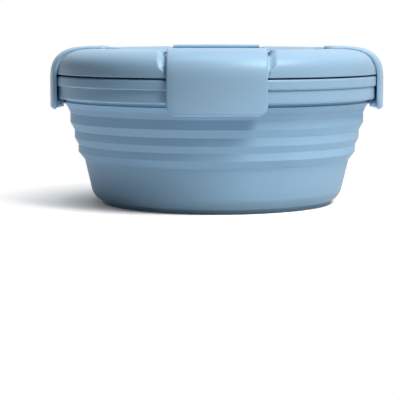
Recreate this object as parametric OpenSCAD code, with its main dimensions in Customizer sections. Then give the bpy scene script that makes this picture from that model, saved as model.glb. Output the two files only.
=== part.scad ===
// Collapsible silicone bowl with a latching lid, standing open.
// Origin at the centre of the flat underside, +Z up, front latch on -Y. Millimetres.

/* [Base cup] */
// Outer radius at the top of the cup
cup_r = 72.3; // [60:0.1:90]
// How far the cup's wall leans in from its top to its rounded corner
cup_lean = 3.7; // [1:0.05:5]
// Width of the rounded corner between the underside and the cup's wall
heel_w = 8.5; // [6:0.1:12]
// Height of the rounded corner
heel_h = 8; // [6:0.1:12]
// Height of the foot that the cup stands on
foot_h = 2.5; // [1.5:0.1:3]
// How far the foot is set in under the rounded corner
foot_inset = 2.3; // [1.5:0.1:4]
// Width of the rounded corner inside the cup
inside_w = 5.5; // [4:0.1:7]
// Height of the rounded corner inside the cup
inside_h = 5.5; // [4:0.1:7]
// Height of the cup, from the underside to the first fold
cup_h = 24; // [18:0.5:40]
// Thickness of the floor
floor_t = 3.9; // [3.5:0.1:6]

/* [Folding wall] */
// Thickness of the folding wall, measured across the bowl
wall_t = 1.6; // [1:0.1:3]
// Thickness of the cup's wall, measured across the bowl
cup_t = 2; // [1.2:0.1:4]
// How much further the lower band stands out from the cup than folding needs
lower_spread = 1.5; // [0:0.1:4]
// How much further the middle band stands out from the lower band than folding needs
middle_spread = 0.1; // [0:0.1:4]
// How much further the upper band stands out from the middle band than folding needs
upper_spread = 0.4; // [0:0.1:4]
// Height of the fold between the cup and the lower band
lower_fold_h = 4.2; // [3:0.1:6]
// Height of the fold between the lower and middle bands
middle_fold_h = 3.7; // [3:0.1:6]
// Height of the fold between the middle and upper bands
upper_fold_h = 4.2; // [3:0.1:6]
// Height of the upright part of the lower band
lower_band_h = 4; // [3:0.1:8]
// Height of the upright part of the middle band
middle_band_h = 4.2; // [3:0.1:8]
// Height of the upright part of the upper band
upper_band_h = 4.3; // [3:0.1:8]
// Clearance between bands that pass each other when the bowl folds
fold_clear = 0.3; // [0.2:0.05:0.8]

/* [Collar under the rim] */
// How far the inside of the neck stands out from the upper band
neck_step = 0.95; // [0.5:0.05:3]
// How far the collar stays inside the lip
collar_inset = 4; // [2:0.1:5]
// Height of the hollow sweep from the upper band to the collar
sweep_h = 4.9; // [3.5:0.1:8]
// Height of the collar's upright edge
collar_h = 2.2; // [1.5:0.1:5]
// Height of the groove between the collar and the lip
groove_h = 1.6; // [1:0.1:4]
// Thickness of the silicone neck inside the rings
neck_t = 0.95; // [0.7:0.05:1.6]
// Height of the silicone bead held between the rings
bead_h = 1.4; // [1:0.1:3]
// How far the silicone bead reaches out past the neck
bead_reach = 2.1; // [1:0.1:3.5]

/* [Rings] */
// Height of the clamp ring, from its lip to the rim ring
clamp_h = 7; // [5:0.1:12]
// How far the clamp ring stays inside the rim ring
clamp_inset = 0.5; // [0:0.1:2]
// Height of the rim ring
rim_h = 5.4; // [4:0.1:10]
// Width of the rim ring, across the bowl
rim_w = 6.2; // [4:0.1:12]
// Rounding of the rings' outer edges
ring_round = 0.8; // [0.2:0.1:2]
// Clearance between the silicone and the rings that hold it
seat_clear = 0.1; // [0.05:0.05:0.2]

/* [Lid] */
// How far the lid's edge stands out past the rim ring
lid_over = 0.1; // [0:0.1:2]
// Height of the lid, from its edge to its crest
lid_h = 13.8; // [11:0.1:20]
// Gap between the lid's edge and the rim ring
seam_gap = 0.6; // [0.2:0.1:2]
// Height of the lid's straight wall, from its edge to the start of its shoulder
lid_wall_h = 1.2; // [0.5:0.1:4]
// Width of the lid's rounded shoulder
shoulder_w = 18.5; // [13:0.5:22]
// How square the lid's shoulder is, where 2 is an oval
shoulder_square = 2.7; // [2:0.1:3.4]
// Thickness of the lid
lid_t = 2; // [1.2:0.1:3]
// Depth of the lid's dished centre below its crest
dish_depth = 3.1; // [2.1:0.1:5]
// Width of the flat crest between the dish and the shoulder
crest_w = 4.3; // [1:0.1:10]
// Width of the slope from the crest down to the floor of the dish
dish_slope_w = 15.5; // [6:0.5:30]
// Thickness of the lid's locating skirt
skirt_t = 1.2; // [0.8:0.1:2]
// How far the skirt reaches down inside the rim ring
skirt_drop = 2.2; // [1:0.1:5]
// Clearance between the skirt and the rim ring
skirt_clear = 0.3; // [0.2:0.05:0.6]
// Height of the gasket above the rim ring
gasket_h = 4.1; // [2.5:0.1:5]
// Thickness of the lid's edge outside the gasket
lid_edge_t = 1.5; // [1:0.1:3]

/* [Latches] */
// Width of a latch
latch_w = 50.4; // [30:0.2:64]
// Thickness of a latch
latch_t = 2.15; // [1.6:0.05:3.4]
// Gap between the lid's wall and a latch
latch_gap = 0.3; // [0.3:0.05:2]
// Height of a latch above the lid's crest
latch_proud = 1; // [0.4:0.1:3]
// Width of a latch's rounded shoulder
latch_round_w = 21.9; // [16:0.1:24]
// Height of a latch's rounded shoulder
latch_round_h = 18.5; // [15:0.1:24]
// How square a latch's shoulder is, where 2 is an oval
latch_square = 2.8; // [2:0.1:3.4]
// How far a latch reaches below the lip
latch_drop = 5.6; // [4.5:0.1:7]
// Radius of a latch's lower corners
latch_corner_r = 5.3; // [2:0.1:12]
// Clearance between a catch's point and the collar
catch_clear = 0.7; // [0.4:0.1:1.5]
// Clearance between a catch and the lip as a latch swings
catch_swing = 0.45; // [0.2:0.05:1.5]
// Height of a catch's blunt point
catch_point_h = 0.3; // [0.2:0.1:1.5]

/* [Latch hinges] */
// Distance from a latch's outer face in to its hinge axis
latch_reach = 28.35; // [25:0.05:34]
// Radius of the rounded hinge end of a latch
barrel_r = 2.2; // [1.6:0.1:3]
// Radius of a hinge pin
pin_r = 0.8; // [0.5:0.05:1.2]
// Running clearance between a hinge pin and a latch
pin_clear = 0.05; // [0.03:0.01:0.1]
// Seat clearance between a hinge pin and the lid
pin_seat = 0.02; // [0.01:0.01:0.05]
// Depth of a hinge pin's seat in the lid
pin_seat_d = 2; // [1:0.1:5]
// Clearance between the hinge end of a latch and the lid
barrel_clear = 0.3; // [0.2:0.05:1]
// Clearance on each side of a latch in its bay
bay_side = 0.8; // [0.3:0.1:1]
// Clearance between a latch and the floor of its bay
bay_gap = 0.6; // [0.3:0.1:1.1]
// How far the sloping side of a bay runs out for each millimetre of height, at the crest
bay_flare = 1.1; // [0.4:0.05:1.6]
// The same run on the shoulder
shoulder_flare = 1; // [0.8:0.05:2]
// Height above the lid's wall at which a bay's sides run out on the shoulder
bay_end = 3; // [1:0.1:6]
// How far the thickening under a bay runs past its sides
boss_side = 3; // [1:0.1:8]

/* [Hidden] */
// Points of the round faces
$fn = 96;
// Steps along a curved profile
steps = 12;
// Small overlap for cuts
eps = 0.01;
// Far enough to pass through everything
far = 200;

// Radii, from the underside out to the lid's edge
lean = cup_lean / (cup_h - heel_h);
heel_r = cup_r - cup_lean;
heel_start = asin((heel_h - foot_h) / heel_h);
foot_r = heel_r - heel_w * (1 - cos(heel_start)) - lean * (heel_h - foot_h) - foot_inset;
inside_z = floor_t + inside_h;
inside_r = cup_r - cup_t - lean * (cup_h - inside_z);
fold_pitch = wall_t + fold_clear;
lower_r = cup_r + fold_pitch + lower_spread;
middle_r = lower_r + fold_pitch + middle_spread;
upper_r = middle_r + fold_pitch + upper_spread;
neck_r = upper_r + neck_step;
neck_out = neck_r + neck_t;
ring_in = neck_out + seat_clear;
rim_r = ring_in + rim_w;
clamp_r = rim_r - clamp_inset;
collar_r = clamp_r - collar_inset;
lid_r = rim_r + lid_over;

// Heights up the wall
lower_z = cup_h + lower_fold_h;
lower_top = lower_z + lower_band_h;
middle_z = lower_top + middle_fold_h;
middle_top = middle_z + middle_band_h;
upper_z = middle_top + upper_fold_h;
upper_top = upper_z + upper_band_h;
collar_z = upper_top + sweep_h;
collar_top = collar_z + collar_h;
lip_z = collar_top + groove_h;
clamp_top = lip_z + clamp_h;
rim_top = clamp_top + rim_h;
lid_z = rim_top + seam_gap;
crest_z = lid_z + lid_h;
dish_z = crest_z - dish_depth;
shoulder_z = lid_z + lid_wall_h;

// Radii at which the wall parts when the bowl folds, midway between a band and the next wall
cut_lower = (cup_r + lower_r - wall_t) / 2;
cut_middle = (lower_r + middle_r - wall_t) / 2;
cut_upper = (middle_r + upper_r - wall_t) / 2;
cut_collar = neck_r - fold_clear / 2;

// Lid and latch profiles
crest_end = lid_r - shoulder_w;
crest_r = crest_end - crest_w;
dish_r = crest_r - dish_slope_w;
latch_in = lid_r + latch_gap;
latch_out = latch_in + latch_t;
latch_top = crest_z + latch_proud;
latch_c = latch_out - latch_round_w;
latch_cz = latch_top - latch_round_h;
latch_z = lip_z - latch_drop;
skirt_out = ring_in - skirt_clear;
skirt_in = skirt_out - skirt_t;
gasket_in = ring_in + ring_round;
gasket_out = lid_r - lid_edge_t - seat_clear;
gasket_top = rim_top + gasket_h;
bay_half = latch_w / 2 + bay_side;
bay_a = latch_in - bay_gap - latch_c;
bay_b = latch_top - latch_t - bay_gap - latch_cz;
bay_top_half = bay_half + bay_flare * dish_depth;
bay_start = sqrt(max(1, dish_r ^ 2 - bay_top_half ^ 2));
hinge_n = latch_out - latch_reach;
hinge_z = latch_top - barrel_r;
pin_half = bay_half + bay_flare * (hinge_z - dish_z) + pin_seat_d;
boss_half = bay_top_half + boss_side;
boss_z = min(dish_z, hinge_z - barrel_r - barrel_clear) - lid_t;
bay_end_r = crest_end
    + shoulder_w * (1 - (bay_end / (crest_z - shoulder_z)) ^ shoulder_square) ^ (1 / shoulder_square);
bay_fall = atan((crest_z - shoulder_z - bay_end) / (bay_end_r - crest_end));
latch_foot = latch_t * 0.7;

// A catch clears the lip as it swings about the hinge
swing_r = norm([clamp_r - hinge_n, hinge_z - lip_z]) + catch_swing;
catch_r = collar_r + catch_clear;
catch_z = hinge_z - sqrt(swing_r ^ 2 - (catch_r - hinge_n) ^ 2);
catch_top = hinge_z - sqrt(swing_r ^ 2 - (latch_in - hinge_n) ^ 2);

silicone = [0.40, 0.55, 0.66];
hard = [0.46, 0.61, 0.72];
soft = [0.80, 0.83, 0.85];
pin_colour = [0.62, 0.66, 0.70];

// Points of a quarter ellipse about (cr, cz), from angle a0 to a1
function arc(cr, cz, a, b, a0, a1) =
    [for (i = [0 : steps]) let (t = a0 + (a1 - a0) * i / steps) [cr + a * cos(t), cz + b * sin(t)]];

// Points of a quarter ellipse squared by n about (cr, cz), from angle a0 to a1
function squared(cr, cz, a, b, n, a0, a1) =
    [for (i = [0 : steps]) let (t = a0 + (a1 - a0) * i / steps)
        [cr + a * cos(t) ^ (2 / n), cz + b * sin(t) ^ (2 / n)]];

// Points of a latch's shoulder, whose outer face is widened by da and raised by db, from angle a0 to a1
function bend(da, db, a0, a1) =
    squared(latch_c, latch_cz, latch_round_w + da, latch_round_h + db, latch_square, a0, a1);

// Angle at which a latch's shoulder of height b reaches the height z
function bend_angle(b, z) = asin(max(0, min(1, (z - latch_cz) / b)) ^ (latch_square / 2));

// Outer edge of the folding wall, from the cup up to the collar
wall_outer = concat(
    [[cup_r, cup_h], [lower_r, lower_z], [lower_r, lower_top], [middle_r, middle_z],
     [middle_r, middle_top], [upper_r, upper_z]],
    arc(collar_r, upper_top, collar_r - upper_r, sweep_h, 180, 90));

// Inner edge of the folding wall, from the upper band down to the cup
wall_inner = [
    [neck_r - fold_clear, collar_z],
    [upper_r - wall_t, upper_top + sweep_h * 0.5],
    [upper_r - wall_t, upper_z],
    [middle_r - wall_t, middle_top],
    [middle_r - wall_t, middle_z],
    [lower_r - wall_t, lower_top],
    [lower_r - wall_t, lower_z],
    [cup_r - cup_t, cup_h]];

// Half section of the whole silicone wall above the cup
module wall_section() {
    polygon(concat(wall_outer, wall_inner));
}

// A ring of the wall between two radii
module wall_ring(r0, r1) {
    rotate_extrude()
        intersection() {
            wall_section();
            translate([r0, 0])
                square([r1 - r0, far]);
        }
}

module base_cup() {
    color(silicone)
        rotate_extrude() {
            polygon(concat(
                [[0, 0], [foot_r, 0], [foot_r, foot_h]],
                [for (p = arc(heel_r - heel_w, heel_h, heel_w, heel_h, -heel_start, 0))
                    [p[0] - lean * (heel_h - p[1]), p[1]]],
                [[cup_r, cup_h], [cup_r - cup_t, cup_h]],
                arc(inside_r - inside_w, inside_z, inside_w, inside_h, 0, -90),
                [[0, floor_t]]));
            intersection() {
                wall_section();
                square([cut_lower - fold_clear / 2, far]);
            }
        }
}

module lower_band() {
    color(silicone)
        wall_ring(cut_lower + fold_clear / 2, cut_middle - fold_clear / 2);
}

module middle_band() {
    color(silicone)
        wall_ring(cut_middle + fold_clear / 2, cut_upper - fold_clear / 2);
}

module upper_band() {
    color(silicone)
        wall_ring(cut_upper + fold_clear / 2, cut_collar - fold_clear / 2);
}

// Silicone collar, neck and bead, held between the two rings
module wall_collar() {
    color(silicone)
        rotate_extrude() {
            intersection() {
                polygon(concat(
                    arc(collar_r, upper_top, collar_r - upper_r, sweep_h, 180, 90),
                    [[collar_r, collar_top], [upper_r, collar_top]]));
                translate([neck_r, 0])
                    square([far, far]);
            }
            translate([neck_r, collar_z])
                square([neck_t, clamp_top - seat_clear - collar_z]);
            translate([neck_r, clamp_top - seat_clear - bead_h])
                square([neck_t + bead_reach, bead_h]);
        }
}

// Lower ring, whose edge is the lip that the catches hold
module clamp_ring() {
    bead_r = neck_out + bead_reach + seat_clear;
    bead_z = clamp_top - 2 * seat_clear - bead_h;
    color(hard)
        rotate_extrude()
            polygon(concat(
                [[ring_in, lip_z]],
                arc(clamp_r - ring_round, lip_z + ring_round, ring_round, ring_round, -90, 0),
                [[clamp_r, clamp_top], [bead_r, clamp_top], [bead_r, bead_z], [ring_in, bead_z]]));
}

module rim_ring() {
    round = ring_round;
    color(hard)
        rotate_extrude()
            polygon(concat(
                [[ring_in, clamp_top]],
                arc(rim_r - round / 2, clamp_top + round / 2, round / 2, round / 2, -90, 0),
                arc(rim_r - round, rim_top - round, round, round, 0, 90),
                arc(ring_in + round / 2, rim_top - round / 2, round / 2, round / 2, 90, 180)));
}

// Upper face of the lid, from the axis out to the edge, sunk by t
function lid_face(t) = concat(
    [[0, dish_z - t]],
    [for (i = [0 : steps]) let (u = i / steps)
        [dish_r + (crest_r - dish_r) * u, dish_z - t + dish_depth * (1 - cos(180 * u)) / 2]],
    squared(crest_end, shoulder_z, shoulder_w - t, crest_z - shoulder_z - t, shoulder_square, 90, 0));

// Space above the floor of a latch bay, in half section
module bay_section() {
    polygon(concat(
        [[0, dish_z]],
        bend(bay_a - latch_round_w, bay_b - latch_round_h,
             bend_angle(bay_b, dish_z), bend_angle(bay_b, shoulder_z)),
        [[far, shoulder_z], [far, far], [0, far]]));
}

// Sides of a latch bay, flaring upwards from height z and sloping down outwards by an angle
module bay_sides(n, z, angle, flare) {
    translate([n, 0, z])
        rotate([0, angle, 0])
            translate([-far / 2, 0, 0])
                rotate([90, 0, 90])
                    linear_extrude(height = far)
                        polygon([[-bay_half, -far], [bay_half, -far], [bay_half, 0],
                                 [bay_half + flare * 20, 20], [-bay_half - flare * 20, 20],
                                 [-bay_half, 0]]);
}

// One latch bay with its hinge trough, cut from the lid on +X
module bay_cut() {
    intersection() {
        rotate_extrude()
            bay_section();
        bay_sides(hinge_n, dish_z, 0, bay_flare);
        translate([bay_start, -far / 2, 0])
            cube([far, far, far]);
    }
    intersection() {
        rotate_extrude()
            bay_section();
        bay_sides(bay_end_r, shoulder_z + bay_end, bay_fall, shoulder_flare);
        translate([crest_end, -far / 2, 0])
            cube([far, far, far]);
    }
    translate([hinge_n, 0, hinge_z])
        rotate([90, 0, 0])
            cylinder(h = 2 * bay_half, r = barrel_r + barrel_clear, center = true);
}

// Thickening under a latch bay that carries its floor and hinge seats
module bay_boss() {
    intersection() {
        rotate_extrude()
            polygon(concat(lid_face(eps), [[lid_r - lid_t, shoulder_z], [0, shoulder_z]]));
        translate([bay_start, -boss_half, boss_z])
            cube([far, 2 * boss_half, far]);
    }
}

module lid_shell() {
    color(hard)
        difference() {
            union() {
                rotate_extrude()
                    polygon(concat(
                        lid_face(0),
                        [[lid_r, lid_z], [gasket_out + seat_clear, lid_z],
                         [gasket_out + seat_clear, gasket_top + seat_clear],
                         [gasket_in - seat_clear, gasket_top + seat_clear],
                         [gasket_in - seat_clear, lid_z], [skirt_out, lid_z],
                         [skirt_out, rim_top - skirt_drop], [skirt_in, rim_top - skirt_drop]],
                        [for (k = [len(lid_face(lid_t)) - 1 : -1 : 0])
                            let (p = lid_face(lid_t)[k]) if (p[0] < skirt_in) p]));
                for (turn = [0 : 90 : 270])
                    rotate([0, 0, turn])
                        bay_boss();
            }
            for (turn = [0 : 90 : 270])
                rotate([0, 0, turn]) {
                    bay_cut();
                    translate([hinge_n, 0, hinge_z])
                        rotate([90, 0, 0])
                            cylinder(h = 2 * (pin_half + pin_seat), r = pin_r + pin_seat, center = true);
                }
        }
}

module lid_gasket() {
    color(soft)
        rotate_extrude()
            translate([gasket_in, rim_top])
                square([gasket_out - gasket_in, gasket_h]);
}

// Hinge pin on +X, turned to its side of the lid
module hinge_pin(turn) {
    color(pin_colour)
        rotate([0, 0, turn])
            translate([hinge_n, 0, hinge_z])
                rotate([90, 0, 0])
                    cylinder(h = 2 * pin_half, r = pin_r, center = true);
}

// Face of a latch seen from outside: straight sides and rounded lower corners
module latch_outline() {
    half = latch_w / 2;
    c = latch_corner_r;
    translate([-half, latch_z + c])
        square([latch_w, far]);
    translate([-half + c, latch_z])
        square([latch_w - 2 * c, far]);
    for (side = [-1, 1])
        translate([side * (half - c), latch_z + c])
            circle(r = c);
}

// Latch on +X, turned to its side of the lid
module latch(turn) {
    color(hard)
        rotate([0, 0, turn])
            difference() {
                union() {
                    intersection() {
                        rotate_extrude()
                            polygon(concat(
                                [[0, latch_top - latch_t], [0, latch_top]],
                                bend(0, 0, 90, 0),
                                [[latch_out, latch_z + latch_foot],
                                 [latch_out - latch_foot, latch_z],
                                 [latch_in, latch_z + latch_foot / 2],
                                 [catch_r, catch_z - catch_point_h], [catch_r, catch_z],
                                 [latch_in, catch_top]],
                                bend(-latch_t, -latch_t, 0, 90)));
                        translate([hinge_n, 0, 0])
                            rotate([90, 0, 90])
                                linear_extrude(height = far)
                                    latch_outline();
                    }
                    translate([hinge_n, 0, hinge_z])
                        rotate([90, 0, 0])
                            cylinder(h = latch_w, r = barrel_r, center = true);
                }
                translate([hinge_n, 0, hinge_z])
                    rotate([90, 0, 0])
                        cylinder(h = far, r = pin_r + pin_clear, center = true);
            }
}

base_cup();
lower_band();
middle_band();
upper_band();
wall_collar();
clamp_ring();
rim_ring();
lid_shell();
lid_gasket();
hinge_pin(-90);  // front_hinge_pin
hinge_pin(0);  // right_hinge_pin
hinge_pin(90);  // back_hinge_pin
hinge_pin(180);  // left_hinge_pin
latch(-90);  // front_latch
latch(0);  // right_latch
latch(90);  // back_latch
latch(180);  // left_latch
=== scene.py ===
import math
import bmesh
import bpy
from mathutils import Matrix, Vector


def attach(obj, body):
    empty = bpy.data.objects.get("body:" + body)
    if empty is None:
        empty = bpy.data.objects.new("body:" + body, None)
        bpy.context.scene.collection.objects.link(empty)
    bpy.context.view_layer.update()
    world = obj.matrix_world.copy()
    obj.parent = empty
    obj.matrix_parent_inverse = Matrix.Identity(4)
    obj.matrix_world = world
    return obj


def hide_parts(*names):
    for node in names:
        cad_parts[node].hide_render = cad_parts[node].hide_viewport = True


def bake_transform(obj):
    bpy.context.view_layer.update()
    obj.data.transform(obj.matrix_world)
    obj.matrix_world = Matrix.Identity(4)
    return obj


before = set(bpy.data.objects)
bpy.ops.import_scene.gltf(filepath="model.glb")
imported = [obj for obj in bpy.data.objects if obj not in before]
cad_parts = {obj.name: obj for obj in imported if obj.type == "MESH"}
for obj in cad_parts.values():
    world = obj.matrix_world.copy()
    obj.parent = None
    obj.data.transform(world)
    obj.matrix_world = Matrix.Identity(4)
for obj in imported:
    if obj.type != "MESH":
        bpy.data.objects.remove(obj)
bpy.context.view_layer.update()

for spare in ("Cube", "Light", "Camera"):
    if spare in bpy.data.objects:
        bpy.data.objects.remove(bpy.data.objects[spare])
scene = bpy.context.scene
print("frame loaded:", len(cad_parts), "nodes")


# shared helpers: all shapes below are written in millimetres

millimetre = 0.001
weldGap = 2e-6  # metres, joins points that fall together
bendLimit = 0.45  # most of a side that one bend may take
bendHold, holdLimit = 1.6, 0.49  # where a flat beside a bend gets its extra point


def rounded(path, closed=False, steps=5):
    # path holds (r, z) or (r, z, bend radius); gives the same line with its corners rounded
    line = []
    count = len(path)
    for i, corner in enumerate(path):
        here = Vector(corner[:2])
        bend = corner[2] if len(corner) > 2 else 0
        if bend == 0 or (not closed and i in (0, count - 1)):
            line.append(tuple(here))
            continue
        back = Vector(path[i - 1][:2]) - here
        ahead = Vector(path[(i + 1) % count][:2]) - here
        half = back.angle(ahead) / 2
        reach = min(bend / math.tan(half), back.length * bendLimit, ahead.length * bendLimit)
        toBack, toAhead = back.normalized(), ahead.normalized()
        centre = here + (toBack + toAhead).normalized() * (reach / math.cos(half))
        first, last = here + toBack * reach - centre, here + toAhead * reach - centre
        turn = first.angle(last)
        # a point on each side keeps the flat beside the bend flat
        line.append(tuple(here + toBack * min(reach * bendHold, back.length * holdLimit)))
        for k in range(steps + 1):
            s = k / steps
            arm = first * math.sin((1 - s) * turn) + last * math.sin(s * turn)
            line.append(tuple(centre + arm / math.sin(turn)))
        line.append(tuple(here + toAhead * min(reach * bendHold, ahead.length * holdLimit)))
    return line


def oval(cr, cz, a, b, start, end, steps=14):
    # points on part of an upright oval, angles in degrees
    angles = [math.radians(start + (end - start) * i / steps) for i in range(steps + 1)]
    return [(cr + a * math.cos(t), cz + b * math.sin(t)) for t in angles]


def smooth(share):
    # eases a share from 0 to 1, held at both ends
    s = min(1, max(0, share))
    return s * s * (3 - 2 * s)


def bridged(rows, size, first=0, closed=False):
    # faces from each loop of points to the next
    faces = []
    for i in range(rows if closed else rows - 1):
        here, ahead = first + i * size, first + (i + 1) % rows * size
        for j in range(size):
            n = (j + 1) % size
            faces.append((here + j, here + n, ahead + n, ahead + j))
    return faces


def capped(rows, size, first=0):
    # one face over the first loop and one over the last
    return [tuple(start + j for j in range(size)) for start in (first, first + (rows - 1) * size)]


def turned(line, columns, closed=False):
    # the line turned about the bowl's axis
    points = []
    for r, z in line:
        for j in range(columns):
            t = 2 * math.pi * j / columns
            points.append((r * math.cos(t), r * math.sin(t), z))
    return points, bridged(len(line), columns, closed=closed)


def meshPiece(name, points, faces, finish):
    mesh = bpy.data.meshes.new(name)
    mesh.from_pydata([tuple(c * millimetre for c in point) for point in points], [], faces)
    work = bmesh.new()
    work.from_mesh(mesh)
    bmesh.ops.remove_doubles(work, verts=work.verts, dist=weldGap)
    bmesh.ops.recalc_face_normals(work, faces=work.faces)
    for face in work.faces:
        face.smooth = True
    work.to_mesh(mesh)
    work.free()
    mesh.materials.append(finish)
    piece = bpy.data.objects.new(name, mesh)
    scene.collection.objects.link(piece)
    return piece


# finishes: cloud and grain are strengths, their scales are per metre

moulding = {"cloudDetail": 4, "cloudSpan": (0.3, 0.7), "grainDetail": 3, "grainDepth": 0.0001,
            "bloomRough": 0.5}
siliconeLook = {"colour": (0.245, 0.404, 0.556), "cloud": 0.03, "cloudScale": 45,
                "grain": 0.10, "grainScale": 2600, "rough": (0.50, 0.64),
                "shine": 0.32, "shineTint": (0.75, 0.9, 1.0), "bloom": 0.03}
plasticLook = {"colour": (0.274, 0.433, 0.585), "cloud": 0.015, "cloudScale": 30,
               "grain": 0.05, "grainScale": 3400, "rough": (0.34, 0.44),
               "shine": 0.4, "shineTint": (0.60, 0.85, 1.0), "bloom": 0.0}
# the gasket's near-black colour is painted shade, darkening the seam gap between lid and rim
gasketGapShadeLook = {"colour": (0.020, 0.036, 0.055), "cloud": 0.02, "cloudScale": 60,
              "grain": 0.12, "grainScale": 2600, "rough": (0.55, 0.68),
              "shine": 0.3, "shineTint": (0.75, 0.9, 1.0), "bloom": 0.0}


def mouldedFinish(name, look):
    # one moulding's colour with a faint cloud, a fine grain and a varying gloss
    finish = bpy.data.materials.new(name)
    finish.use_nodes = True
    tree = finish.node_tree
    shader = tree.nodes["Principled BSDF"]
    place = tree.nodes.new("ShaderNodeTexCoord")
    cloud = tree.nodes.new("ShaderNodeTexNoise")
    cloud.inputs["Scale"].default_value = look["cloudScale"]
    cloud.inputs["Detail"].default_value = moulding["cloudDetail"]
    tint = tree.nodes.new("ShaderNodeValToRGB")
    shades = (1 - look["cloud"], 1 + look["cloud"])
    for stop, at, shade in zip(tint.color_ramp.elements, moulding["cloudSpan"], shades):
        stop.position = at
        stop.color = [c * shade for c in look["colour"]] + [1]
    grain = tree.nodes.new("ShaderNodeTexNoise")
    grain.inputs["Scale"].default_value = look["grainScale"]
    grain.inputs["Detail"].default_value = moulding["grainDetail"]
    gloss = tree.nodes.new("ShaderNodeMapRange")
    gloss.inputs["To Min"].default_value, gloss.inputs["To Max"].default_value = look["rough"]
    skin = tree.nodes.new("ShaderNodeBump")
    skin.inputs["Strength"].default_value = look["grain"]
    skin.inputs["Distance"].default_value = moulding["grainDepth"]
    for texture in (cloud, grain):
        tree.links.new(place.outputs["Object"], texture.inputs["Vector"])
    tree.links.new(cloud.outputs["Fac"], tint.inputs["Fac"])
    tree.links.new(tint.outputs["Color"], shader.inputs["Base Color"])
    tree.links.new(grain.outputs["Fac"], gloss.inputs["Value"])
    tree.links.new(gloss.outputs["Result"], shader.inputs["Roughness"])
    tree.links.new(grain.outputs["Fac"], skin.inputs["Height"])
    tree.links.new(skin.outputs["Normal"], shader.inputs["Normal"])
    shader.inputs["Specular IOR Level"].default_value = look["shine"]
    shader.inputs["Specular Tint"].default_value = look["shineTint"] + (1,)
    shader.inputs["Sheen Weight"].default_value = look["bloom"]
    shader.inputs["Sheen Roughness"].default_value = moulding["bloomRough"]
    return finish


silicone = mouldedFinish("blueSilicone", siliconeLook)
plastic = mouldedFinish("bluePlastic", plasticLook)
gasketGapShade = mouldedFinish("gasketGapShadeSilicone", gasketGapShadeLook)
print("finishes made")


# silicone bowl: cup, three bands, collar and the bead inside the rings, one moulding

bowl = {"foot": (62.69, 2.5), "footRound": (0.3, 0.4, 0.5), "bottomRows": (30, 52),
        "heel": (68.6, 8.0, 8.5), "heelSteps": 18,  # radius, height, width of the round
        "inside": (66.92, 9.4, 5.5), "floor": 3.9, "floorRows": (56, 48, 25, 0),
        "cup": (72.3, 24.0), "cupWall": 2.0, "wall": 1.6,
        # radius, foot and top of each band
        "lower": (75.7, 28.2, 32.2), "middle": (77.7, 35.9, 40.1), "upper": (80.0, 44.3, 48.6),
        "flareFoot": (0.8, 1.5),  # rise above the upper band, bend
        "flareKnee": (1.3, 0.9, 5.0),  # out from the band, below the collar's foot, bend
        "collar": (83.7, 53.5, 57.2),  # radius, foot, top
        "lip": (1.6, 0.4),  # below the collar's top, bend
        "recess": (0.45, 1.45, 0.1),  # in from the lip, below the collar's top, bend
        "neck": (80.96, 81.90), "neckRound": (0.15, 0.2), "neckFoot": (0.6, 0.8),
        "bead": (84.0, 62.8, 64.2), "beadRound": (0.15, 0.3, 0.4),
        "innerKnee": (2.4, 1.0), "edge": 0.9, "crease": 0.7, "cupCrease": 1.4, "columns": 240}


def bowlLine():
    b = bowl
    edge, crease, wall = b["edge"], b["crease"], b["wall"]
    footR, footZ = b["foot"]
    heelR, heelZ, heelWide = b["heel"]
    insideR, insideZ, insideRound = b["inside"]
    cupR, cupZ = b["cup"]
    upperR, upperZ, upperTop = b["upper"]
    collarR, collarZ, collarTop = b["collar"]
    # underside, foot ring and heel, which leans with the cup
    start = -math.degrees(math.asin((heelZ - footZ) / heelZ))
    lean = (cupR - heelR) / (cupZ - heelZ)
    heel = [(r - lean * (heelZ - z), z)
            for r, z in oval(heelR - heelWide, heelZ, heelWide, heelZ, start, 0, b["heelSteps"])]
    line = [(0, 0)] + [(r, 0) for r in b["bottomRows"]]
    footLow, footTop, heelRound = b["footRound"]
    line += rounded([line[-1], (footR, 0, footLow), (footR, footZ, footTop),
                     (heel[0][0], footZ, heelRound), heel[2]])[1:]
    line += heel[3:]
    # cup and bands, from the heel up
    outside = [(heelR, heelZ), (cupR, cupZ, crease * b["cupCrease"])]
    for name in ("lower", "middle"):
        r, z, top = b[name]
        outside += [(r, z, edge), (r, top, crease)]
    outside += [(upperR, upperZ, edge), (upperR, upperTop)]
    line += rounded(outside)[1:]
    # collar: one slope out to a lip, with a shallow recess above it
    footRise, footBend = b["flareFoot"]
    kneeOut, kneeDrop, kneeBend = b["flareKnee"]
    lipDrop, lipBend = b["lip"]
    recessIn, recessDrop, recessBend = b["recess"]
    flare = rounded([(upperR, upperTop), (upperR, upperTop + footRise, footBend),
                     (upperR + kneeOut, collarZ - kneeDrop, kneeBend),
                     (collarR, collarTop - lipDrop, lipBend),
                     (collarR - recessIn, collarTop - recessDrop, recessBend),
                     (collarR - recessIn, collarTop)])
    line += flare[1:-1]
    # over the bead and down the inside
    beadR, beadZ, beadTop = b["bead"]
    beadFoot, beadEdge, beadInner = b["beadRound"]
    neckIn, neckOut = b["neck"]
    neckTop, neckBend = b["neckRound"]
    neckRise, neckFoot = b["neckFoot"]
    innerRise, innerBend = b["innerKnee"]
    inside = [flare[-2], (collarR - recessIn, collarTop, neckTop), (neckOut, collarTop, neckBend),
              (neckOut, beadZ, beadFoot), (beadR, beadZ, beadEdge), (beadR, beadTop, beadEdge),
              (neckIn, beadTop, beadInner), (neckIn, collarZ + neckRise, neckFoot),
              (upperR - wall, upperTop + innerRise, innerBend), (upperR - wall, upperZ, crease)]
    for name in ("middle", "lower"):
        r, z, top = b[name]
        inside += [(r - wall, top, edge), (r - wall, z, crease)]
    inside += [(cupR - b["cupWall"], cupZ, edge), (insideR, insideZ)]
    line += rounded(inside)[1:]
    line += oval(insideR - insideRound, insideZ, insideRound, insideRound, 0, -90)[1:]
    line += [(r, b["floor"]) for r in b["floorRows"]]
    return line


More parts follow.
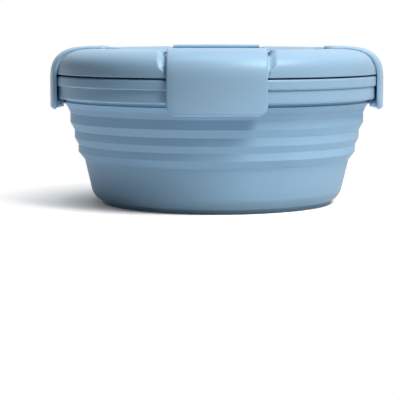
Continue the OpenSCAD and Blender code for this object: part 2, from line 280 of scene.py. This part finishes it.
points, faces = turned(bowlLine(), bowl["columns"])
siliconeBowl = meshPiece("silicone_bowl", points, faces, silicone)
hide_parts("base_cup", "lower_band", "middle_band", "upper_band", "wall_collar")
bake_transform(siliconeBowl)
print("silicone bowl made:", len(siliconeBowl.data.vertices), "points")


# two hard rings that grip the bead

rings = {"inside": 82.01, "groove": (84.11, 62.7), "columns": 240,
         "clamp": (87.2, 57.3, 64.3), "rim": (88.2, 64.3, 69.7),  # radius, foot, top
         "clampRound": (0.4, 1.2, 0.15, 0.1, 0.2),  # inner foot, lip, top, groove, inner top
         "rimRound": (0.2, 0.9, 1.1, 0.4)}  # inner foot, foot, top, inner top


def clampLine():
    inner, (r, z, top), (grooveR, grooveZ) = rings["inside"], rings["clamp"], rings["groove"]
    innerFoot, lip, outerTop, groove, innerTop = rings["clampRound"]
    return rounded([(inner, z, innerFoot), (r, z, lip), (r, top, outerTop), (grooveR, top, groove),
                    (grooveR, grooveZ, groove), (inner, grooveZ, innerTop)], closed=True)


def rimLine():
    inner, (r, z, top) = rings["inside"], rings["rim"]
    innerFoot, outerFoot, outerTop, innerTop = rings["rimRound"]
    return rounded([(inner, z, innerFoot), (r, z, outerFoot), (r, top, outerTop), (inner, top, innerTop)],
                   closed=True)


for name, line in (("clamp_ring", clampLine()), ("rim_ring", rimLine())):
    points, faces = turned(line, rings["columns"], closed=True)
    ring = meshPiece(name + "_skin", points, faces, plastic)
    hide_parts(name)
    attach(ring, "rim")
print("rings made")


# lid: a dished top with a rounded shoulder and a bay for each latch

lid = {"dish": 81.0, "dishR": 50.0, "crest": 84.1, "crestR": 65.5, "crestEnd": 69.8,
       "edge": 88.3, "edgeZ": 70.5, "shoulderZ": 71.5, "square": 2.7, "thick": 2.0, "bayHalf": 26.0,
       "bay": (68.85, 66.6, 19.15, 15.75, 2.8),  # centre, half axes and squareness of its floor
       "flank": 3.9, "flankStart": 0.9, "flankLeast": 0.5, "flankEase": 0.45,  # walls beside a bay
       "flankGrow": (67.0, 75.0), "flankFade": (74.5, 79.0),  # radii where they widen, heights where they end
       "hinge": 62.4, "hingeDip": (0.95, 1.95),  # depth and half width of the trough
       "gasket": (82.7, 86.8, 73.9), "skirt": (80.5, 81.7, 67.5), "skirtTop": 76.5,
       "edgeRound": (0.8, 0.25), "gasketRound": 0.2, "skirtRound": (0.1, 0.4), "edgeLap": 0.1,
       "centreRows": [0.5, 12, 24, 34, 42], "slopeBreak": 58, "slopeSteps": (8, 18),
       "shoulderTurns": [1, 2.5] + list(range(5, 90, 2)), "underRows": [79, 77, 74.5, 72],
       "bayShares": [0, 0.12, 0.25, 0.38, 0.5, 0.62, 0.74, 0.85, 0.94, 1],
       "flankShares": [0.06, 0.14, 0.25, 0.37, 0.5, 0.63, 0.75, 0.86, 0.94, 1],
       "plainShares": [0.03, 0.08, 0.15, 0.22, 0.3, 0.38, 0.46, 0.54, 0.62, 0.7, 0.78, 0.86, 0.93, 1]}


def squared(share, power):
    # height of a squared-off quarter oval at a share of its width
    return (1 - min(1, max(0, share)) ** power) ** (1 / power)


def lidTop(r):
    d = lid
    if r <= d["dishR"]:
        return d["dish"]
    if r <= d["crestR"]:
        u = (r - d["dishR"]) / (d["crestR"] - d["dishR"])
        return d["dish"] + (d["crest"] - d["dish"]) * (1 - math.cos(math.pi * u)) / 2
    if r <= d["crestEnd"]:
        return d["crest"]
    wide = d["edge"] - d["crestEnd"]
    return d["shoulderZ"] + (d["crest"] - d["shoulderZ"]) * squared((r - d["crestEnd"]) / wide, d["square"])


def bayFloor(r):
    cr, cz, wide, high, power = lid["bay"]
    return max(lid["shoulderZ"], min(lidTop(r), lid["dish"], cz + high * squared((r - cr) / wide, power)))


def flankWidth(r):
    d = lid
    start, end = d["flankGrow"]
    wide = d["flankStart"] + (d["flank"] - d["flankStart"]) * smooth((r - start) / (end - start))
    if r < d["crestEnd"]:
        return wide
    foot, full = d["flankFade"]
    s = min(1, max(0, (full - lidTop(r)) / (full - foot)))
    return max(d["flankLeast"], wide * math.sqrt(1 - s * s))


def lidColumns(r):
    # (angle from the middle of a bay, share up the flank), from the bay's middle to halfway to the next bay
    d = lid
    at = max(r, d["dishR"])
    wide = flankWidth(at)
    out = [(math.asin(d["bayHalf"] * s / at), 0) for s in d["bayShares"]]
    out += [(math.asin((d["bayHalf"] + wide * s) / at), s) for s in d["flankShares"]]
    last = out[-1][0]
    out += [(last + (math.pi / 4 - last) * s, 1) for s in d["plainShares"]]
    return out


def lidPoint(r, angle, share):
    ease = lid["flankEase"]
    rise = ease * share + (1 - ease) * smooth(share)
    floor, top = bayFloor(r), lidTop(r)
    if share < 1:
        deep, wide = lid["hingeDip"]
        gap = (r * math.cos(angle) - lid["hinge"]) / wide
        floor -= deep * math.exp(-gap ** 4) * (1 - share)  # trough under the latch's round end
    return floor + (top - floor) * rise


def lidRow(r, height):
    # one ring of points round the whole lid, with height(angle, share) giving z
    row = []
    columns = lidColumns(r)
    for quarter in range(4):
        turn = quarter * math.pi / 2
        for angle, share in columns[:-1]:
            row.append((turn + angle, height(angle, share)))
        for angle, share in reversed(columns[1:]):
            row.append((turn + math.pi / 2 - angle, height(angle, share)))
    return [(r * math.cos(t), r * math.sin(t), z) for t, z in row]


def lidMesh():
    d = lid
    rows = []
    split, (inSteps, outSteps) = d["slopeBreak"], d["slopeSteps"]
    slope = [d["dishR"] + (split - d["dishR"]) * i / inSteps for i in range(inSteps + 1)]
    slope += [split + (d["crestEnd"] - split) * i / outSteps for i in range(1, outSteps + 1)]
    wide = d["edge"] - d["crestEnd"]
    power = 2 / d["square"]
    shoulder = [d["crestEnd"] + wide * math.sin(math.radians(a)) ** power for a in d["shoulderTurns"]]
    for r in d["centreRows"] + slope + shoulder + [d["edge"]]:
        rows.append(lidRow(r, lambda angle, share, r=r: lidPoint(r, angle, share)))
    # lower edge, gasket groove and skirt
    gasketIn, gasketOut, gasketTop = d["gasket"]
    skirtIn, skirtOut, skirtZ = d["skirt"]
    edge, edgeZ, (edgeBend, grooveBend) = d["edge"], d["edgeZ"], d["edgeRound"]
    soft, (skirtFoot, skirtBend) = d["gasketRound"], d["skirtRound"]
    under = rounded([(edge, d["shoulderZ"] - d["edgeLap"]), (edge, edgeZ, edgeBend),
                     (gasketOut, edgeZ, grooveBend), (gasketOut, gasketTop, soft),
                     (gasketIn, gasketTop, soft), (gasketIn, edgeZ, soft),
                     (skirtOut, edgeZ, skirtFoot), (skirtOut, skirtZ, skirtBend),
                     (skirtIn, skirtZ, skirtBend), (skirtIn, d["skirtTop"])], steps=3)
    for r, z in under:
        rows.append(lidRow(r, lambda angle, share, z=z: z))
    # underside, from the skirt to the middle
    t = d["thick"]
    for r in [skirtIn] + d["underRows"] + slope[::-1] + d["centreRows"][::-1]:
        if r > d["crestEnd"]:
            low = d["crest"] - d["shoulderZ"] - t
            low = d["shoulderZ"] + low * squared((r - d["crestEnd"]) / (wide - t), d["square"])
        else:
            low = lidTop(r) - t
        rows.append(lidRow(r, lambda angle, share, r=r, low=low: min(low, lidPoint(r, angle, share) - t)))
    points = [p for row in rows for p in row]
    size = len(rows[0])
    return points, bridged(len(rows), size) + capped(len(rows), size)


points, faces = lidMesh()
lidSkin = meshPiece("lid_skin", points, faces, plastic)
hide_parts("lid_shell")
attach(lidSkin, "lid")
print("lid made:", len(points), "points")

seal = {"inside": 82.85, "outside": 86.65, "low": 69.75, "top": 73.75,
        "round": 0.7, "topRound": 0.3, "columns": 160}
line = rounded([(seal["inside"], seal["low"], seal["round"]), (seal["outside"], seal["low"], seal["round"]),
                (seal["outside"], seal["top"], seal["topRound"]),
                (seal["inside"], seal["top"], seal["topRound"])], closed=True)
points, faces = turned(line, seal["columns"], closed=True)
gasket = meshPiece("gasket_skin", points, faces, gasketGapShade)
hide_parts("lid_gasket")
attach(gasket, "lid")
print("gasket made")


# latches: a bent plate with a round hinge end and a catch under the lip

latch = {"half": 25.2, "top": 85.1, "thick": 2.15, "foot": 51.7, "outside": 90.75,
         "bend": (68.85, 66.6, 21.9, 18.5), "square": 2.8,  # centre, half axes and squareness of the outside
         "corner": 5.3, "round": 0.8, "footRound": 1.7, "footSteps": 16, "footLeast": 0.02,
         "hinge": (62.4, 82.9), "barrel": 2.2, "barrelRound": 1.0, "noseRound": 1.0,
         "bore": 0.85, "boreRound": 0.15, "boreCover": 0.1,
         "plateSlope": 0.5, "plateSteps": 8, "around": 48, "across": 12,
         "bendTurns": [89.4, 88.6] + list(range(87, 6, -3)) + [4, 2, 0.8, 0], "sideRows": (64.5, 62, 60),
         "catch": [(88.9, 57.7, 0.3), (84.45, 53.87, 0.2), (84.45, 53.55, 0.2), (88.9, 52.45, 0.3)],
         "catchHalf": 22.6, "catchRoot": (88.9, 56),
         "catchTaper": (0.96, 0.04, 0.35),  # where it starts, its length and its loss at each end
         "catchShares": [-1, -0.985, -0.96, -0.9, -0.7, -0.5, -0.25, 0, 0.25, 0.5, 0.7, 0.9, 0.96, 0.985, 1]}


def sectionLoop(half, steps=4):
    # outline across a latch: (along its width, -1 inside to 1 outside)
    bend, across = latch["round"], latch["across"]
    deep = bend / (latch["thick"] / 2)
    spread = [half - bend - 2 * (half - bend) * i / across for i in range(1, across)]
    loop = []
    for sx, sy, first in ((1, 1, 0), (-1, 1, 90), (-1, -1, 180), (1, -1, 270)):
        for k in range(steps + 1):
            t = math.radians(first + 90 * k / steps)
            loop.append((sx * (half - bend) + bend * math.cos(t), sy * (1 - deep) + deep * math.sin(t)))
        if first == 0:
            loop += [(s, 1) for s in spread]
        if first == 180:
            loop += [(-s, -1) for s in spread]
    return loop


def plateRows():
    # (outer r, outer z, inner r, inner z, half width) from the hinge to the foot
    d = latch
    hingeN, hingeZ = d["hinge"]
    cr, cz, a, b = d["bend"]
    thick = d["thick"]
    rows = []
    for i in range(d["plateSteps"] + 1):
        r = hingeN + (cr - hingeN) * i / d["plateSteps"]
        low = max(d["top"] - thick, hingeZ + d["bore"] + d["boreCover"] - (r - hingeN) * d["plateSlope"])
        rows.append((r, d["top"], r, low, d["half"]))
    power = 2 / d["square"]
    for t in d["bendTurns"]:
        c, s = math.cos(math.radians(t)) ** power, math.sin(math.radians(t)) ** power
        rows.append((cr + a * c, cz + b * s, cr + (a - thick) * c, cz + (b - thick) * s, d["half"]))
    foot, corner = d["foot"], d["corner"]
    inner = d["outside"] - thick
    for z in d["sideRows"] + (foot + corner,):
        rows.append((d["outside"], z, inner, z, d["half"]))
    big, small = d["footRound"], thick - d["footRound"]
    for k in range(1, d["footSteps"] + 1):
        t = math.radians(90 * k / d["footSteps"])
        lift = corner * (1 - math.sin(t))
        half = d["half"] - corner + corner * math.cos(t)
        outer = d["outside"] - big + math.sqrt(big ** 2 - max(0, big - lift) ** 2)
        inside = inner + small - math.sqrt(small ** 2 - max(0, small - lift) ** 2)
        rows.append((max(outer, inside + d["footLeast"]), foot + lift, inside, foot + lift, half))
    return rows


def latchPlate():
    hingeN, cr = latch["hinge"][0], latch["bend"][0]
    rows = plateRows()
    points = []
    for outR, outZ, inR, inZ, half in rows:
        for x, y in sectionLoop(half):
            r = (outR + inR) / 2 + (outR - inR) / 2 * y
            z = (outZ + inZ) / 2 + (outZ - inZ) / 2 * y
            if r < cr and outZ == latch["top"]:  # straight at the hinge, round with the lid at the bend
                n = r + (r - hingeN) / (cr - hingeN) * (math.sqrt(cr * cr - x * x) - cr)
            else:
                n = math.sqrt(r * r - x * x)
            points.append((n, x, z))
    size = len(points) // len(rows)
    return points, bridged(len(rows), size) + capped(len(rows), size)


def latchBarrel(first):
    # round hinge end, bored for its pin
    d = latch
    hingeN, hingeZ = d["hinge"]
    bore, full, half, around = d["bore"], d["barrel"], d["half"], d["around"]
    bend = d["noseRound"]
    nose = full - bend
    ends = rounded([(bore, -half, d["boreRound"]), (full, -half, d["barrelRound"]),
                    (full, half, d["barrelRound"]), (bore, half, d["boreRound"])], closed=True)
    points = []
    for radius, x in ends:
        for j in range(around):
            t = 2 * math.pi * j / around
            reach = radius
            if math.pi / 2 < t < math.pi:  # the inner top quarter has a flat face and a small round
                k = nose * (math.sin(t) - math.cos(t))
                corner = k + math.sqrt(max(0, k * k - 2 * nose ** 2 + bend ** 2))
                flat = min(corner, full / max(math.sin(t), -math.cos(t)))
                reach += (flat - full) * (radius - bore) / (full - bore)
            points.append((hingeN + reach * math.cos(t), x, hingeZ + reach * math.sin(t)))
    return points, bridged(len(ends), around, first, closed=True)


def latchCatch(first):
    # wedge swept along the lip, a little smaller at its ends
    d = latch
    wedge = rounded(d["catch"], closed=True, steps=3)
    rootR, rootZ = d["catchRoot"]
    taper, length, loss = d["catchTaper"]
    points = []
    for s in d["catchShares"]:
        shrink = 1 if abs(s) < taper else 1 - loss * ((abs(s) - taper) / length) ** 2
        x = s * d["catchHalf"]
        for r, z in wedge:
            near = rootR - (rootR - r) * shrink
            points.append((math.sqrt(near * near - x * x), x, rootZ + (z - rootZ) * shrink))
    rows, size = len(d["catchShares"]), len(wedge)
    return points, bridged(rows, size, first) + capped(rows, size, first)


latchPoints, latchFaces = latchPlate()
for part in (latchBarrel, latchCatch):
    points, faces = part(len(latchPoints))
    latchPoints += points
    latchFaces += faces
for side, turn in (("front", -90), ("right", 0), ("back", 90), ("left", 180)):
    piece = meshPiece(side + "_latch_skin", latchPoints, latchFaces, plastic)
    piece.data.transform(Matrix.Rotation(math.radians(turn), 4, "Z"))
    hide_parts(side + "_latch")
    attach(piece, side + "_latch")
    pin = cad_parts[side + "_hinge_pin"]
    pin.data.materials.clear()
    pin.data.materials.append(plastic)
print("latches made")


# floor, light and camera: metres, but millimetres for the glow and the lens

studio = {"glow": ((108, 0.0), (114, 1.0), (123, 1.0), (128, 0.5), (150, 0.5), (170, 0.0)),  # distance, level
          "glowPeak": 4.3, "glowReach": 300, "glowTint": (0.93, 0.985, 1.05),  # what the floor throws up
          "bounce": (0.55, 0.0), "bounceFade": (0.086, 0.094),
          "bounceAt": (0.026, -0.016, 0),  # middle of the lit patch, on the key lamp's side
          "floorSeen": (1.57, 1.50, 1.42), "fade": (0.054, 0.135), "backdrop": 1.0,
          "floorHalf": 4, "floorZ": -0.0002, "lampAim": (0, 0, 0.05),
          "lens": 144.78, "sensor": 36, "stand": (-0.00235, -0.88293, 0.09803), "aim": (-0.00909, 0, 0.00053)}
lamps = {"keyLamp": {"place": (0.500, -0.500, 0.893), "size": 0.5, "power": 16.1,
                     "colour": (1.0, 0.965, 0.925)},
         "topLamp": {"place": (0, -0.096, 1.146), "size": 0.6, "power": 4.1,
                     "colour": (0.74, 0.87, 1.0)}}


def seenRays(tree):
    # 1 where the camera, a reflection or a clear piece looks at the surface
    rays = tree.nodes.new("ShaderNodeLightPath")
    seen = rays.outputs["Is Camera Ray"]
    for kind in ("Is Glossy Ray", "Is Transmission Ray"):
        either = tree.nodes.new("ShaderNodeMath")
        either.operation = "MAXIMUM"
        tree.links.new(seen, either.inputs[0])
        tree.links.new(rays.outputs[kind], either.inputs[1])
        seen = either.outputs["Value"]
    return seen


def floorFinish():
    finish = bpy.data.materials.new("paleFloor")
    finish.use_nodes = True
    tree = finish.node_tree
    tree.nodes.clear()
    out = tree.nodes.new("ShaderNodeOutputMaterial")
    pick = tree.nodes.new("ShaderNodeMixShader")
    place = tree.nodes.new("ShaderNodeTexCoord")
    away = tree.nodes.new("ShaderNodeVectorMath")
    away.operation = "LENGTH"
    tree.links.new(place.outputs["Object"], away.inputs[0])
    # unseen rays: a ring of glow by distance from the bowl
    span = tree.nodes.new("ShaderNodeMath")
    span.operation = "MULTIPLY"
    span.inputs[1].default_value = 1 / (millimetre * studio["glowReach"])
    ring = tree.nodes.new("ShaderNodeValToRGB")
    while len(ring.color_ramp.elements) < len(studio["glow"]):
        ring.color_ramp.elements.new(0.5)
    for stop, (distance, level) in zip(ring.color_ramp.elements, studio["glow"]):
        stop.position = distance / studio["glowReach"]
        stop.color = [level * tint / max(studio["glowTint"]) for tint in studio["glowTint"]] + [1]
    glow = tree.nodes.new("ShaderNodeEmission")
    glow.inputs["Strength"].default_value = studio["glowPeak"]
    tree.links.new(away.outputs["Value"], span.inputs[0])
    tree.links.new(span.outputs["Value"], ring.inputs["Fac"])
    tree.links.new(ring.outputs["Color"], glow.inputs["Color"])
    # unseen rays: a patch that passes on the lamps' light
    lit = tree.nodes.new("ShaderNodeVectorMath")
    lit.operation = "DISTANCE"
    lit.inputs[1].default_value = studio["bounceAt"]
    dim = tree.nodes.new("ShaderNodeMapRange")
    dim.inputs["From Min"].default_value, dim.inputs["From Max"].default_value = studio["bounceFade"]
    dim.inputs["To Min"].default_value, dim.inputs["To Max"].default_value = studio["bounce"]
    bounce = tree.nodes.new("ShaderNodeBsdfDiffuse")
    both = tree.nodes.new("ShaderNodeAddShader")
    tree.links.new(place.outputs["Object"], lit.inputs[0])
    tree.links.new(lit.outputs["Value"], dim.inputs["Value"])
    tree.links.new(dim.outputs["Result"], bounce.inputs["Color"])
    tree.links.new(glow.outputs["Emission"], both.inputs[0])
    tree.links.new(bounce.outputs["BSDF"], both.inputs[1])
    # seen rays: a pale floor that keeps the shadow and goes over to white
    shade = tree.nodes.new("ShaderNodeBsdfDiffuse")
    shade.inputs["Color"].default_value = studio["floorSeen"] + (1,)
    white = tree.nodes.new("ShaderNodeEmission")
    white.inputs["Strength"].default_value = studio["backdrop"]
    fade = tree.nodes.new("ShaderNodeMapRange")
    fade.inputs["From Min"].default_value, fade.inputs["From Max"].default_value = studio["fade"]
    sweep = tree.nodes.new("ShaderNodeMixShader")
    tree.links.new(away.outputs["Value"], fade.inputs["Value"])
    tree.links.new(fade.outputs["Result"], sweep.inputs["Fac"])
    tree.links.new(shade.outputs["BSDF"], sweep.inputs[1])
    tree.links.new(white.outputs["Emission"], sweep.inputs[2])
    tree.links.new(seenRays(tree), pick.inputs["Fac"])
    tree.links.new(both.outputs["Shader"], pick.inputs[1])
    tree.links.new(sweep.outputs["Shader"], pick.inputs[2])
    tree.links.new(pick.outputs["Shader"], out.inputs["Surface"])
    return finish


half, z = studio["floorHalf"], studio["floorZ"]
corners = [(-half, -half, z), (half, -half, z), (half, half, z), (-half, half, z)]
floorMesh = bpy.data.meshes.new("floor")
floorMesh.from_pydata(corners, [], [(0, 1, 2, 3)])
floorMesh.materials.append(floorFinish())
floorPlane = bpy.data.objects.new("floor", floorMesh)
scene.collection.objects.link(floorPlane)


def studioWorld():
    world = bpy.data.worlds.new("studio")
    world.use_nodes = True
    scene.world = world
    tree = world.node_tree
    tree.nodes.clear()
    out = tree.nodes.new("ShaderNodeOutputWorld")
    white = tree.nodes.new("ShaderNodeBackground")
    white.inputs["Color"].default_value = (1, 1, 1, 1)
    white.inputs["Strength"].default_value = studio["backdrop"]
    room = tree.nodes.new("ShaderNodeBackground")
    room.inputs["Color"].default_value = (0, 0, 0, 1)
    pick = tree.nodes.new("ShaderNodeMixShader")
    tree.links.new(seenRays(tree), pick.inputs["Fac"])
    tree.links.new(room.outputs["Background"], pick.inputs[1])
    tree.links.new(white.outputs["Background"], pick.inputs[2])
    tree.links.new(pick.outputs["Shader"], out.inputs["Surface"])


def placed(name, data, place, aim):
    # puts a lamp or camera in the scene, looking at a point
    holder = bpy.data.objects.new(name, data)
    holder.location = place
    holder.rotation_mode = "QUATERNION"
    holder.rotation_quaternion = (Vector(aim) - Vector(place)).to_track_quat("-Z", "Y")
    scene.collection.objects.link(holder)
    return holder


def areaLamp(name, place, size, power, colour):
    lamp = bpy.data.lights.new(name, "AREA")
    lamp.shape = "SQUARE"
    lamp.size = size
    lamp.energy = power
    lamp.color = colour
    placed(name, lamp, place, studio["lampAim"])


studioWorld()
for name, lamp in lamps.items():
    areaLamp(name, **lamp)

view = bpy.data.cameras.new("camera")
view.lens = studio["lens"]
view.sensor_width = studio["sensor"]
scene.camera = placed("camera", view, studio["stand"], studio["aim"])
scene.view_settings.view_transform = "Standard"
print("studio made")
